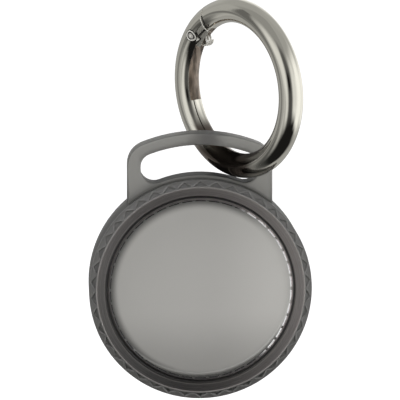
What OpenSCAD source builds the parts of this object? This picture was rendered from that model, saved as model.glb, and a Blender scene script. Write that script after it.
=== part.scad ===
// Tracker tag holder: a soft round case with a hanging loop, and a spring gate ring through the loop.
// X runs to the right, Y runs away from the viewer and Z runs up.
// The origin is on the axis of the case, in the middle of the loop's thickness.

/* [Tag] */
// Diameter of the round tag that the case holds
tag_d = 31.9; // [30:0.1:34]
// Thickness of the tag at its middle
tag_h = 8; // [7:0.1:9]
// Room between the tag's edge and the pocket wall
tag_room = 0.1; // [0.05:0.01:0.3]

/* [Case] */
// Wall round the pocket at the back of the case
wall_t = 2.2; // [1.8:0.1:3]
// Thickness of the floor behind the tag
floor_t = 1.7; // [1.2:0.1:2.4]
// How far the front edge stands past the tag
crest_over = 0.1; // [0:0.05:1]
// How far the widest ring stands out past the back of the case
swell = 0.35; // [0.1:0.05:0.6]
// Distance from the front edge back to the widest ring
swell_set = 0.8; // [0.6:0.05:1.4]
// Distance from the widest ring in to the middle of the front edge
shoulder_in = 1.25; // [1:0.05:1.5]
// How far the lip reaches in over the tag's edge
lip_in = 0.95; // [0.5:0.05:1.4]
// Distance from the front edge back to the lip
lip_set = 0.45; // [0.3:0.05:1]
// Height of the slope behind the lip
lip_under = 1.1; // [0.8:0.1:1.4]
// Distance from the front edge back to the middle of the loop
loop_set = 3.4; // [3:0.1:5]

/* [Loop] */
// Width of the loop across the case
loop_w = 24.1; // [22:0.1:27]
// Thickness of the loop from front to back
loop_t = 3.4; // [2.6:0.1:4]
// Width of the band over the slot
band_w = 1.95; // [1.6:0.05:3]
// Length of the slot from side to side
slot_w = 19.8; // [16:0.1:21]
// Height of the slot
slot_h = 5.05; // [4.8:0.05:6]
// Wall of the case left between the pocket and the slot
slot_floor = 3.1; // [2.7:0.1:4]

/* [Ring] */
// Inner diameter of the ring
ring_bore = 22; // [20:0.5:26]
// Thickness of the ring's wire
wire_d = 4.1; // [3.6:0.1:4.2]
// Angle that the ring is turned from the face of the loop
ring_yaw = 52; // [48:1:58]
// How far right of the middle the ring's centre lies
ring_x = 6.44; // [6.2:0.02:6.7]
// How far in front of the loop's middle the ring's centre lies
ring_front = 1.5; // [1.2:0.05:1.8]
// How far the wire hangs below the middle of the slot
ring_sag = 0.14; // [0:0.02:0.3]

/* [Gate] */
// Diameter of the hinge pin
pin_d = 1.2; // [1:0.05:1.4]
// Angle round the ring to the hinge pin
pin_deg = 142; // [138:1:146]
// How far the pin lies inside the middle of the wire
pin_in = 0.55; // [0.3:0.05:0.8]
// Distance from the pin to the gate's heel
heel_reach = 4.2; // [3.8:0.1:4.6]
// Direction from the pin to the gate's heel
heel_deg = 23.5; // [20:0.5:27]
// Distance from the pin to the gate's tip
tip_reach = 15.2; // [14.6:0.1:15.6]
// Width of the channel inside the gate
channel_w = 2.2; // [1.9:0.1:2.4]
// How far the channel's floor lies outside the middle of the wire
channel_depth = 1; // [0.8:0.05:1.2]
// Angle round the ring to the end of the channel
channel_end = 198.3; // [190:0.5:202]
// Gap at each end of the closed gate
gate_gap = 0.12; // [0.08:0.01:0.2]
// Thickness of the hinge tongue
tongue_t = 0.75; // [0.5:0.05:0.9]
// Diameter of the spring's wire
spring_wire = 0.2; // [0.14:0.02:0.22]
// Distance between one curl of the spring and the next
spring_pitch = 0.8; // [0.66:0.02:0.82]

/* [Hidden] */

// Smoothness of round shapes
$fn = 96;

// Places and sizes along the case's axis
case_depth = floor_t + tag_h + crest_over;
front_y = -loop_set;
back_y = front_y + case_depth;
floor_y = back_y - floor_t;
swell_y = front_y + swell_set;
lip_y = front_y + lip_set;

// Radii of the case
pocket_r = tag_d / 2 + tag_room;
back_r = pocket_r + wall_t;
swell_r = back_r + swell;
crest_r = swell_r - shoulder_in;
lip_r = pocket_r - lip_in;

// Rounded edges of the case
crest_round = 0.3;
swell_round = 0.4;
back_round = 1;
lip_round = 0.2;
floor_round = 0.5;
edge_steps = 6;

// Groove in the front face, just outside the lip
bevel_drop = 0.25;
furrow_off = 0.55;
furrow_r = lip_r + furrow_off;
furrow_half = 0.3;
furrow_deep = 0.35;

// Slopes of the case's surfaces
back_slope = atan2(swell, back_y - swell_y);
shoulder_slope = atan2(shoulder_in - swell_round, swell_set - crest_round);
bevel_slope = atan2(bevel_drop, crest_r - furrow_r - furrow_half);
under_slope = atan2(lip_under, lip_in);

// Outline of the loop and its slot, seen from the front
slot_low_r = pocket_r + slot_floor;
slot_top_r = slot_low_r + slot_h;
loop_r = slot_top_r + band_w;
loop_corner = 3.8;
loop_root = 2;
slot_low_corner = 2.4;
slot_top_corner = 2.2;
loop_embed = wall_t / 2;
slot_half = slot_w / 2;
loop_half = loop_w / 2;

// Overrun of cuts past the surface that they cut
over = 1;

// Ring sizes and place
wire_r = wire_d / 2;
ring_r = ring_bore / 2 + wire_r;
ring_out = ring_r + wire_r;
ring_y = -ring_front;
slot_mid_r = (slot_low_r + slot_top_r) / 2;
cross_u = -ring_front / sin(ring_yaw);
cross_v = -sqrt(ring_r * ring_r - cross_u * cross_u);
cross_x = ring_x + cross_u * cos(ring_yaw);
ring_z = sqrt(slot_mid_r * slot_mid_r - cross_x * cross_x) - ring_sag - cross_v;

// Hinge sizes and place, in the plane of the ring
pin_r = ring_r - pin_in;
pin_at = pin_r * [cos(pin_deg), sin(pin_deg)];
pin_gap = 0.03;
bore_r = pin_d / 2 + pin_gap;
side_gap = 0.08;
channel_half = channel_w / 2;
channel_r = ring_r + channel_depth;
tongue_r = pin_d;
tongue_top = channel_half - side_gap;
tongue_low = tongue_top - tongue_t;
tongue_root = 25;

// Rivet heads of the pin
head_r = 0.72;
head_h = 0.24;
head_seat = 1.6;
head_gap = 0.06;
head_lip = 0.15;
groove_h = 0.1;
groove_in = 0.26;
groove_out = 0.48;

// Spring sizes, in the plane of the ring
spring_r = spring_wire / 2;
coil_r = 0.95;
coil_low = -channel_half + side_gap + spring_r;
leg_inset = 0.3;
leg_seat_r = channel_r - leg_inset;
leg_seat_deg = 172;
leg_seat = leg_seat_r * [cos(leg_seat_deg), sin(leg_seat_deg)];
leg_vector = leg_seat - pin_at;
leg_chord = norm(leg_vector);
leg_length = sqrt(leg_chord * leg_chord - coil_r * coil_r);
leg_deg = atan2(leg_vector[1], leg_vector[0]) + 360 + asin(coil_r / leg_chord);
coil_start = heel_deg + 90;
coil_end = leg_deg - 90 + 360;
coil_turns = (coil_end - coil_start) / 360;
end_gap = 0.02;
curl_rings = 8;
tube_sides = 6;

// Points along an arc in a plane
function arc(centre, radius, from, to, steps) =
    [for (i = [0:steps])
        let (angle = from + (to - from) * i / steps)
        centre + radius * [cos(angle), sin(angle)]];

// Section of the groove beside the lip
function furrow() = [
    [furrow_r + furrow_half, front_y + bevel_drop],
    [furrow_r + furrow_half / 2, front_y + bevel_drop + furrow_deep],
    [furrow_r - furrow_half / 2, front_y + bevel_drop + furrow_deep]];

// Section of the case: radius, then distance along the axis
function case_section() = concat(
    [[0, back_y]],
    arc([back_r - back_round, back_y - back_round], back_round, 90, back_slope, edge_steps),
    arc([swell_r - swell_round, swell_y], swell_round, back_slope, -shoulder_slope, edge_steps),
    arc([crest_r, front_y + crest_round], crest_round, -shoulder_slope, -90 - bevel_slope, edge_steps),
    furrow(),
    arc([lip_r + lip_round, lip_y], lip_round, -90, -180 - under_slope, edge_steps),
    [[pocket_r, lip_y + lip_under]],
    arc([pocket_r - floor_round, floor_y - floor_round], floor_round, 0, 90, edge_steps),
    [[0, floor_y]]);

// The round case without its loop
module cup() {
    rotate([-90, 0, 0])
        rotate_extrude()
            polygon(case_section());
}

// Centre of a round corner of radius q that touches the upright line at half and an arc round the origin.
// The corner lies inside the arc of radius r when side is -1, and outside it when side is 1.
function corner(half, r, q, side) =
    [half - q, sqrt((r + side * q) * (r + side * q) - (half - q) * (half - q))];

// Wedge from the origin out past a point, and its mirror image
function wedge(at, reach) =
    [[0, 0], at * reach / norm(at), [-at[0], at[1]] * reach / norm(at)];

// Outline of the loop, without the slot
module loop_outline() {
    top = corner(loop_half, loop_r, loop_corner, -1);
    root = [loop_half + loop_root, sqrt((back_r + loop_root) * (back_r + loop_root)
        - (loop_half + loop_root) * (loop_half + loop_root))];
    intersection() {
        circle(loop_r);
        polygon(wedge(top, 2 * loop_r));
    }
    polygon([[0, 0], [loop_half, root[1]], [loop_half, top[1]], top, [-top[0], top[1]],
        [-loop_half, top[1]], [-loop_half, root[1]]]);
    for (side = [-1, 1])
        translate([side * top[0], top[1]])
            circle(loop_corner);
    difference() {
        polygon([[0, 0], root, [0, root[1]], [-root[0], root[1]]]);
        for (side = [-1, 1])
            translate([side * root[0], root[1]])
                circle(loop_root);
    }
}

// Outline of the crescent slot
module slot_outline() {
    low = corner(slot_half, slot_low_r, slot_low_corner, 1);
    top = corner(slot_half, slot_top_r, slot_top_corner, -1);
    intersection() {
        difference() {
            circle(slot_top_r);
            circle(slot_low_r);
        }
        polygon([[0, 0], low, top, top * loop_r / norm(top), [-top[0], top[1]] * loop_r / norm(top),
            [-top[0], top[1]], [-low[0], low[1]]]);
    }
    for (side = [-1, 1]) {
        translate([side * low[0], low[1]])
            circle(slot_low_corner);
        translate([side * top[0], top[1]])
            circle(slot_top_corner);
        polygon([[side * low[0], low[1]], [side * slot_half, low[1]], [side * slot_half, top[1]],
            [side * top[0], top[1]]]);
    }
}

// The soft moulding: the cup that holds the tag, and the loop on top
module shell() {
    color([0.46, 0.47, 0.44, 0.75]) {
        cup();
        rotate([90, 0, 0])
            linear_extrude(loop_t, center = true)
                difference() {
                    loop_outline();
                    slot_outline();
                    circle(back_r - loop_embed);
                }
    }
}

// Carries what is drawn in the plane of the ring to the ring's place
module at_ring() {
    translate([ring_x, ring_y, ring_z])
        rotate([0, 0, -ring_yaw])
            rotate([90, 0, 0])
                children();
}

// The whole round ring, in its own plane
module whole_ring() {
    rotate_extrude()
        translate([ring_r, 0])
            circle(wire_r);
}

// The part of the ring's plane that the gate fills, drawn in at both ends by a gap
module gate_outline(gap) {
    translate(pin_at)
        intersection() {
            circle(tip_reach - gap);
            rotate(heel_deg)
                translate([heel_reach - gap - 2 * ring_out, -2 * ring_out])
                    square([2 * ring_out, 4 * ring_out]);
        }
}

// Outline of the flat tongue that carries the pin
module tongue_outline() {
    translate(pin_at)
        circle(tongue_r);
    intersection() {
        difference() {
            circle(pin_r + tongue_r);
            circle(pin_r - tongue_r);
        }
        polygon([[0, 0], 2 * ring_out * [cos(pin_deg), sin(pin_deg)],
            2 * ring_out * [cos(pin_deg - tongue_root), sin(pin_deg - tongue_root)]]);
    }
}

// A round hole along the pin
module pin_bore() {
    translate(pin_at)
        cylinder(r = bore_r, h = 2 * ring_out, center = true);
}

// The fixed part of the ring, with the tongue that carries the pin
module ring_body() {
    color([0.75, 0.74, 0.71])
        at_ring()
            difference() {
                union() {
                    difference() {
                        whole_ring();
                        linear_extrude(2 * wire_d, center = true)
                            gate_outline(0);
                    }
                    translate([0, 0, tongue_low])
                        linear_extrude(tongue_t)
                            tongue_outline();
                }
                pin_bore();
            }
}

// The swinging gate: a channel from its heel to the channel's end, then solid to its tip
module gate() {
    color([0.8, 0.79, 0.74])
        at_ring()
            difference() {
                intersection() {
                    whole_ring();
                    linear_extrude(2 * wire_d, center = true)
                        gate_outline(gate_gap);
                }
                linear_extrude(channel_w, center = true)
                    intersection() {
                        circle(channel_r);
                        rotate(channel_end)
                            translate([-2 * ring_out, -2 * ring_out])
                                square([4 * ring_out, 2 * ring_out]);
                    }
                pin_bore();
                for (side = [-1, 1])
                    translate([pin_at[0], pin_at[1], side * (head_seat + over)])
                        cylinder(r = head_r + head_gap, h = 2 * over, center = true);
            }
}

// One side of the pin's section, from the bottom of one head to the top of the other
function head_side() = [
    [pin_d / 2, head_seat + end_gap],
    [head_r, head_seat + end_gap],
    [head_r, head_seat + head_h - head_lip],
    [head_r - head_lip, head_seat + head_h],
    [groove_out, head_seat + head_h],
    [groove_out - groove_h, head_seat + head_h - groove_h],
    [groove_in, head_seat + head_h - groove_h],
    [groove_in - groove_h, head_seat + head_h],
    [0, head_seat + head_h]];
function pin_section() = let (top = head_side(), last = len(top) - 1)
    concat([for (i = [last:-1:0]) [top[i][0], -top[i][1]]], top);

// The rivet that the gate swings on
module hinge_pin() {
    color([0.7, 0.69, 0.66])
        at_ring()
            translate(pin_at)
                rotate_extrude()
                    polygon(pin_section());
}

// Middle line of the spring's wire: a leg to the ring's shoulder, the coil, and a leg down the channel
coil_rings = ceil(curl_rings * coil_turns);
coil_rise = spring_pitch * coil_turns;
shoulder_leg = heel_reach - end_gap;
start_at = pin_at + coil_r * [cos(coil_start), sin(coil_start)];
end_at = pin_at + coil_r * [cos(coil_end), sin(coil_end)];
start_dir = [cos(heel_deg), sin(heel_deg)];
end_dir = [cos(leg_deg), sin(leg_deg)];
function lift(at, w) = [at[0], at[1], w];
spring_line = concat(
    [for (t = [shoulder_leg, shoulder_leg - spring_wire])
        lift(start_at + t * start_dir, coil_low + coil_rise)],
    [for (i = [0:coil_rings])
        let (angle = coil_start + (coil_end - coil_start) * i / coil_rings)
        lift(pin_at + coil_r * [cos(angle), sin(angle)], coil_low + coil_rise * (1 - i / coil_rings))],
    [for (t = [leg_length - spring_wire, leg_length]) lift(end_at + t * end_dir, coil_low)]);

// Least gap between stretches of a line's tube that lie more than half a curl apart
half_curl = curl_rings / 2;
function tube_gap(line, radius) = min([for (i = [0:len(line) - 1]) for (j = [i + half_curl:1:len(line) - 1])
    norm(line[i] - line[j])]) - 2 * radius;

// Direction of a line at one of its points
function heading(line, i) =
    let (step = line[min(i + 1, len(line) - 1)] - line[max(i - 1, 0)])
    step / norm(step);

// A tube of a few sides round a line that keeps clear of the upright direction
module tube(line, radius, sides) {
    last = len(line) - 1;
    rings = [for (i = [0:last])
        let (
            ahead = heading(line, i),
            across = cross([0, 0, 1], ahead) / norm(cross([0, 0, 1], ahead)),
            up = cross(ahead, across))
        for (k = [0:sides - 1])
            line[i] + radius * (cos(360 * k / sides) * across + sin(360 * k / sides) * up)];
    walls = [for (i = [0:last - 1]) for (k = [0:sides - 1])
        let (
            a = i * sides + k,
            b = i * sides + (k + 1) % sides)
        each [[a, a + sides, b], [b, a + sides, b + sides]]];
    caps = [for (k = [1:sides - 2])
        each [[0, k, k + 1], [last * sides, last * sides + k + 1, last * sides + k]]];
    polyhedron(rings, concat(walls, caps));
}

// The wire spring that closes the gate
module gate_spring() {
    color([0.6, 0.6, 0.58])
        at_ring()
            tube(spring_line, spring_r, tube_sides);
    echo(spring_gap = tube_gap(spring_line, spring_r));
}

shell();
ring_body();
gate();
hinge_pin();
gate_spring();
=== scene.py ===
# %% [markdown]
# # A soft case for a round tag, on a spring gate ring
# The case is one moulding of smoke grey, see-through plastic: a cup with a lip that holds the tag, and a
# flat loop on top. A polished ring with a sprung gate runs through the loop's slot. This lesson dresses the
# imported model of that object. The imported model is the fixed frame: it says where every piece is and how it
# moves, and nothing in it is moved or resized here.

import math

import bmesh
import bpy
import numpy as np
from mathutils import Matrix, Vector
from mathutils.geometry import tessellate_polygon


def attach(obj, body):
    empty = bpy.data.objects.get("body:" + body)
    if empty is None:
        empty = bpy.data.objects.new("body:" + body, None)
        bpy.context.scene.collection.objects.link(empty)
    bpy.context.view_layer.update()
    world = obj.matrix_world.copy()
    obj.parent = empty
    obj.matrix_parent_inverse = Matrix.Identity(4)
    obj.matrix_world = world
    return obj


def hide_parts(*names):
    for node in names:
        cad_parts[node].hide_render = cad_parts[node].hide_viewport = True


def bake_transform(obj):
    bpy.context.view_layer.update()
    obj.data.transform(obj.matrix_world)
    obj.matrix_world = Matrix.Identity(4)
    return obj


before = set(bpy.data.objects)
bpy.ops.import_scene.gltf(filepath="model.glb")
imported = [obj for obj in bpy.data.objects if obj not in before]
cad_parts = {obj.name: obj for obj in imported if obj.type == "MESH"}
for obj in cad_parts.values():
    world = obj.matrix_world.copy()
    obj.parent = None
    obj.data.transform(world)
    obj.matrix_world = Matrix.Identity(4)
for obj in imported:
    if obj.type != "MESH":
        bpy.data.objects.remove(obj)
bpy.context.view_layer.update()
print("nodes:", sorted(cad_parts))

# %% [markdown]
# ## Units and small helpers
# The object is small, so its sizes are written in millimetres and carried to metres in one place. A mesh
# can be typed in vertex by vertex, drawn with a curve or grown by modifiers. Here most outlines are arcs, so
# the first helpers make arcs and turn lists of points into meshes.

# %% Millimetres, arcs and plain meshes
MM = 0.001


def arc(centre, radius, start, end, steps):
    """Points along an arc in a plane, with its angles in degrees."""
    angles = np.radians(np.linspace(start, end, steps + 1))
    return [(centre[0] + radius * math.cos(a), centre[1] + radius * math.sin(a)) for a in angles]


def line(start, end, steps):
    """Points along a straight stretch, without its last one."""
    return [tuple(np.add(start, np.subtract(end, start) * i / steps)) for i in range(steps)]


def in_scene(name, data):
    """A new object in the scene with this data."""
    thing = bpy.data.objects.new(name, data)
    bpy.context.scene.collection.objects.link(thing)
    return thing


def mesh_object(name, points, faces):
    """A new object in the scene from points in millimetres."""
    mesh = bpy.data.meshes.new(name)
    mesh.from_pydata([Vector(p) * MM for p in points], [], faces)
    mesh.update()
    return in_scene(name, mesh)


print("a quarter circle has", len(arc((0, 0), 1, 0, 90, 8)), "points")

# %% Work on a mesh: merge, turn outwards, skin over rings, shade, and apply modifiers


def tidy_mesh(thing, merge=0.001):
    """Merges doubled points and turns every face outwards."""
    work = bmesh.new()
    work.from_mesh(thing.data)
    bmesh.ops.remove_doubles(work, verts=work.verts, dist=merge * MM)
    bmesh.ops.recalc_face_normals(work, faces=work.faces)
    work.to_mesh(thing.data)
    work.free()
    return thing


def wall(count, size, closed=False, first=0, stride=None):
    """Faces between rings of points. A ring starts at first, and the next one a stride later."""
    starts = [first + i * (stride or size) for i in range(count)]
    pairs = zip(starts, starts[1:] + starts[:1] if closed else starts[1:])
    return [(here + k, here + (k + 1) % size, after + (k + 1) % size, after + k)
            for here, after in pairs for k in range(size)]


def skin(name, rings, closed=False):
    """A surface through rings of points, closed into a loop or capped at both ends."""
    count, size = len(rings), len(rings[0])
    faces = wall(count, size, closed)
    if not closed:
        faces += [tuple(reversed(range(size))), tuple(range((count - 1) * size, count * size))]
    return tidy_mesh(mesh_object(name, [point for ring in rings for point in ring], faces))


def round_rod(name, spots, half, sides, closed=False):
    """A rod of round section. Each spot has a middle and the two directions across the rod."""
    turns = [2 * math.pi * k / sides for k in range(sides)]
    rings = [[middle + (out * math.cos(turn) + side * math.sin(turn)) * half for turn in turns]
             for middle, out, side in spots]
    return skin(name, rings, closed)


def apply_modifiers(thing):
    """Turns an object and its modifiers into a plain mesh."""
    graph = bpy.context.evaluated_depsgraph_get()
    finished = bpy.data.meshes.new_from_object(thing.evaluated_get(graph), depsgraph=graph)
    thing.modifiers.clear()
    thing.data = finished
    return thing


def shade(thing, sharp_angle):
    """Smooth shading, with edges sharper than the angle kept crisp and wide faces kept flat."""
    thing.data.shade_smooth()
    thing.data.set_sharp_from_angle(angle=math.radians(sharp_angle))
    evened = thing.modifiers.new("weighted", "WEIGHTED_NORMAL")
    evened.keep_sharp = True
    return apply_modifiers(thing)


def triangles(thing):
    """How many triangles a mesh has."""
    thing.data.calc_loop_triangles()
    return len(thing.data.loop_triangles)


print("mesh helpers are ready")

# %% [markdown]
# ## Camera
# The photograph looks down by about 11 degrees and comes from a little to the left. A long lens keeps the
# far rim nearly as large as the near one, as in the photograph.

# %% Camera
VIEW_LEFT = 3.4
VIEW_DOWN = 11.2
CAMERA_AWAY = 3.0
FRAME_WIDTH = 66.67
AIM_RIGHT = 0.07
AIM_UP = 14.3


def heading(sideways, upwards):
    """The direction away from the object at two angles in degrees: 0, 0 is the front and 90, 0 the right."""
    side, up = math.radians(sideways), math.radians(upwards)
    return Vector((math.sin(side) * math.cos(up), -math.cos(side) * math.cos(up), math.sin(up)))


def make_camera():
    """The photograph's camera: where it stands, where it aims, and how much it sees."""
    towards, right = heading(-VIEW_LEFT, VIEW_DOWN), heading(90 - VIEW_LEFT, 0)
    up = towards.cross(right)
    data = bpy.data.cameras.new("camera")
    data.sensor_width = 36
    data.lens = data.sensor_width * CAMERA_AWAY / (FRAME_WIDTH * MM)
    camera = in_scene("camera", data)
    camera.location = (right * AIM_RIGHT + up * AIM_UP) * MM + towards * CAMERA_AWAY
    camera.rotation_euler = (-towards).to_track_quat("-Z", "Y").to_euler()
    bpy.context.scene.camera = camera
    return camera


camera = make_camera()
bpy.context.scene.view_settings.view_transform = "Standard"
print("lens in millimetres:", round(camera.data.lens))

# %% [markdown]
# ## Node helpers
# Materials, the world and Geometry Nodes are all built from the same kinds of math node, so a few helpers
# that add a node, link its inputs and return its output keep the later cells short.

# %% Node helpers


def add(tree, kind, inputs=(), **settings):
    """Adds a node, with its settings and its inputs as values or as links."""
    node = tree.nodes.new(kind)
    for name, value in settings.items():
        setattr(node, name, value)
    for key, value in dict(inputs).items():
        if isinstance(value, bpy.types.NodeSocket):
            tree.links.new(value, node.inputs[key])
        else:
            node.inputs[key].default_value = value
    return node


def calc(tree, operation, *values):
    """The output of a math node."""
    return add(tree, "ShaderNodeMath", dict(enumerate(values)), operation=operation).outputs[0]


def vector_calc(tree, operation, *values, output="Vector"):
    """An output of a vector math node."""
    return add(tree, "ShaderNodeVectorMath", dict(enumerate(values)), operation=operation).outputs[output]


def parts(tree, vector):
    """The three numbers of a vector: to the right, away from the front, and up."""
    return add(tree, "ShaderNodeSeparateXYZ", {0: vector}).outputs


def product(tree, *values):
    """All values multiplied."""
    result = values[0]
    for value in values[1:]:
        result = calc(tree, "MULTIPLY", result, value)
    return result


def weighted(tree, start, *pairs):
    """A start, with each value added to it at its weight."""
    for value, weight in pairs:
        start = calc(tree, "ADD", start, product(tree, value, weight))
    return start


def distance(tree, right, up):
    """How far a point lies from a middle, from how far it lies to the right and up."""
    return calc(tree, "SQRT", calc(tree, "ADD", product(tree, right, right), product(tree, up, up)))


def mix(tree, share, low, high):
    """Low where the share is 0 and high where it is 1."""
    return add(tree, "ShaderNodeMix", {0: share, 2: low, 3: high}, data_type="FLOAT").outputs[0]


def ramp(tree, value, start, end, low=0.0, high=1.0):
    """A smooth step from low at start to high at end."""
    inputs = {0: value, 1: start, 2: end, 3: low, 4: high}
    return add(tree, "ShaderNodeMapRange", inputs, interpolation_type="SMOOTHSTEP").outputs[0]


def band(tree, value, middle, half, soft):
    """One inside a band round the middle, and zero outside it."""
    away = calc(tree, "ABSOLUTE", calc(tree, "SUBTRACT", value, middle))
    return ramp(tree, away, half, half + soft, 1.0, 0.0)


def mm_band(tree, value, middle, half, soft):
    """A band with its sizes in millimetres."""
    return band(tree, value, middle * MM, half * MM, soft * MM)


def mm_ramp(tree, value, start, end, low=0.0, high=1.0):
    """A smooth step with its two places in millimetres."""
    return ramp(tree, value, start * MM, end * MM, low, high)


print("node helpers are ready")

# %% Material helpers


def start_material(name):
    """A material with an empty tree, the tree, and in it the place and the facing of a point."""
    material = bpy.data.materials.new(name)
    material.use_nodes = True
    tree = material.node_tree
    tree.nodes.clear()
    texture = add(tree, "ShaderNodeTexCoord").outputs
    return material, tree, texture["Object"], texture["Normal"]


def noise(tree, place, scale, detail):
    """Clouds of noise between 0 and 1."""
    return add(tree, "ShaderNodeTexNoise", {"Vector": place, "Scale": scale, "Detail": detail}).outputs[0]


def tinted(tree, tone, green=1.0, blue=1.0):
    """A colour of one tone, with its green and blue as shares of it."""
    shades = {0: tone, 1: product(tree, tone, green), 2: product(tree, tone, blue)}
    return add(tree, "ShaderNodeCombineColor", shades).outputs[0]


def end_material(material, inputs, inside=None):
    """Ends a material in a surface with these inputs, and in what fills its inside."""
    tree = material.node_tree
    ends = {"Surface": add(tree, "ShaderNodeBsdfPrincipled", inputs).outputs[0]}
    if inside:
        ends["Volume"] = inside.outputs[0]
    add(tree, "ShaderNodeOutputMaterial", ends)
    return material


print("material helpers are ready")

# %% [markdown]
# ## Studio
# The photograph has a white background and soft light. The camera, and a look straight through the clear
# plastic, see the world as plain white. A mirror sees a studio instead: grey walls, pale light banks and
# dark flags, each a soft patch on the world with a heading, a height and a level. The flags give the ring its
# black lines, as they do in a real studio. A photographed room on the world would do the same, but patches
# need no file, and each can be moved by itself. Their places were fitted to the tones that the ring shows.

# %% World
WALL = 0.34
SECOND_MIRROR = 0.1
PLASTIC_IN_MIRROR = 0.03
STUDIO = (
    # sideways, half, soft, up, half, soft, level: sideways 0 is the camera's side and 90 the right
    (94, 43, 12, -10, 11, 4, 0.96),
    (-54, 29, 9, 57, 4, 4, 0.66),
    (-163, 17, 21, 19, 5, 14, 0.4),
    (-51, 12, 20, 0, 44, 16, 0.65),
    (-51, 21, 13, 0, 3, 30, 0.71),
    (-46, 56, 17, 66, 21, 25, 0.27),
    (-16, 5, 22, 31, 3, 16, 0.12),
    (-4, 11, 26, -27, 42, 30, 0.07),
    (-11, 6, 5, 7, 3, 9, 0.01),
    (50, 15, 18, -38, 15, 13, 0.01),
    (61, 26, 28, -11, 21, 15, 0.96),
    (118, 52, 22, 12, 8, 30, 0.98),
    (-171, 15, 19, -71, 2, 8, 0.54),
    (132, 11, 39, 39, 14, 29, 0.38),
    (112, 9, 9, -13, 5, 23, 0.84),
    (35, 2, 34, 6, 18, 25, 0.70),
    (-92, 8, 15, -27, 15, 7, 0.80),
    (47, 29, 39, -74, 16, 17, 0.01),
    (-80, 8, 33, -60, 45, 15, 0.08),
    (-16, 53, 27, -62, 22, 21, 0.01),
    (-109, 10, 4, -9, 9, 5, 0.27),
    (-104, 15, 4, 13, 15, 13, 0.37),
    (-69, 2, 17, -16, 2, 27, 0.48),
    (-92, 4, 5, 14, 20, 7, 0.13),
    (-80, 7, 5, -8, 5, 7, 0.37),
    (-103, 3, 4, -11, 4, 4, 0.17),
)


def light_paths(tree):
    """Masks: seen by the camera or straight through plastic, seen through plastic in a mirror, and seen in
    a mirror's mirror."""
    rays = add(tree, "ShaderNodeLightPath").outputs
    straight = calc(tree, "LESS_THAN", rays["Glossy Depth"], 0.5)
    through = product(tree, rays["Is Transmission Ray"], straight)
    seen = calc(tree, "MAXIMUM", rays["Is Camera Ray"], through)
    mirrored = calc(tree, "SUBTRACT", rays["Is Transmission Ray"], through)
    return seen, mirrored, calc(tree, "GREATER_THAN", rays["Glossy Depth"], 1.5)


def studio_level(tree, sideways, upwards):
    """How bright a mirror sees the studio: the patches, each laid over the ones before it."""
    level = WALL
    for side, side_half, side_soft, up, up_half, up_soft, tone in STUDIO:
        away = calc(tree, "PINGPONG", calc(tree, "SUBTRACT", sideways, side), 180)
        across = ramp(tree, away, side_half, side_half + side_soft, 1.0, 0.0)
        patch = product(tree, across, band(tree, upwards, up, up_half, up_soft))
        level = mix(tree, patch, level, tone)
    return level


def make_world():
    """White to the camera and through clear plastic, and a studio to a mirror."""
    world = bpy.data.worlds.new("studio")
    bpy.context.scene.world = world
    world.use_nodes = True
    tree = world.node_tree
    tree.nodes.clear()
    x, y, z = parts(tree, add(tree, "ShaderNodeTexCoord").outputs["Generated"])
    sideways = calc(tree, "DEGREES", calc(tree, "ARCTAN2", x, product(tree, y, -1)))
    level = studio_level(tree, sideways, calc(tree, "DEGREES", calc(tree, "ARCSINE", z)))
    seen, mirrored, second = light_paths(tree)
    level = mix(tree, second, level, product(tree, level, SECOND_MIRROR))
    level = mix(tree, mirrored, level, PLASTIC_IN_MIRROR)
    background = add(tree, "ShaderNodeBackground", {"Color": tinted(tree, mix(tree, seen, level, 1.0))})
    add(tree, "ShaderNodeOutputWorld", {"Surface": background.outputs[0]})
    return world


world = make_world()
print("the studio has", len(STUDIO), "banks and flags, and", len(world.node_tree.nodes), "nodes")

# %% [markdown]
# ## Case section
# The case is a turned shape, so one section of radius against depth gives all of it but the loop. The
# section has the same arcs as the real moulding: a flat back with a rounded edge, a wall that swells
# towards the front, a shoulder for the ribs, a narrow crest, a nearly flat face with a furrow, the lip that
# holds the tag, and the pocket behind it.

# %% Case sizes and section
TAG_WIDTH = 31.9
TAG_ROOM = 0.1
FRONT_Y = -3.4
DEPTH = 9.8
WALL_THICK = 2.2
FLOOR_THICK = 1.7
SWELL = 0.35
SWELL_SET = 0.8
SHOULDER_IN = 1.25
LIP_IN = 0.95
LIP_SET = 0.45
LIP_UNDER = 1.1
CREST_ROUND = 0.3
SWELL_ROUND = 0.4
BACK_ROUND = 1.0
LIP_ROUND = 0.2
FLOOR_ROUND = 0.5
BEVEL_DROP = 0.25
FURROW_OFF = 0.55
FURROW_HALF = 0.3

POCKET_R = TAG_WIDTH / 2 + TAG_ROOM
BACK_R = POCKET_R + WALL_THICK
SWELL_R = BACK_R + SWELL
CREST_R = SWELL_R - SHOULDER_IN
LIP_R = POCKET_R - LIP_IN
FURROW_R = LIP_R + FURROW_OFF
SWELL_Y = FRONT_Y + SWELL_SET
LIP_Y = FRONT_Y + LIP_SET
BACK_Y = FRONT_Y + DEPTH
FLOOR_Y = BACK_Y - FLOOR_THICK
RIB_STEPS = 26


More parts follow.
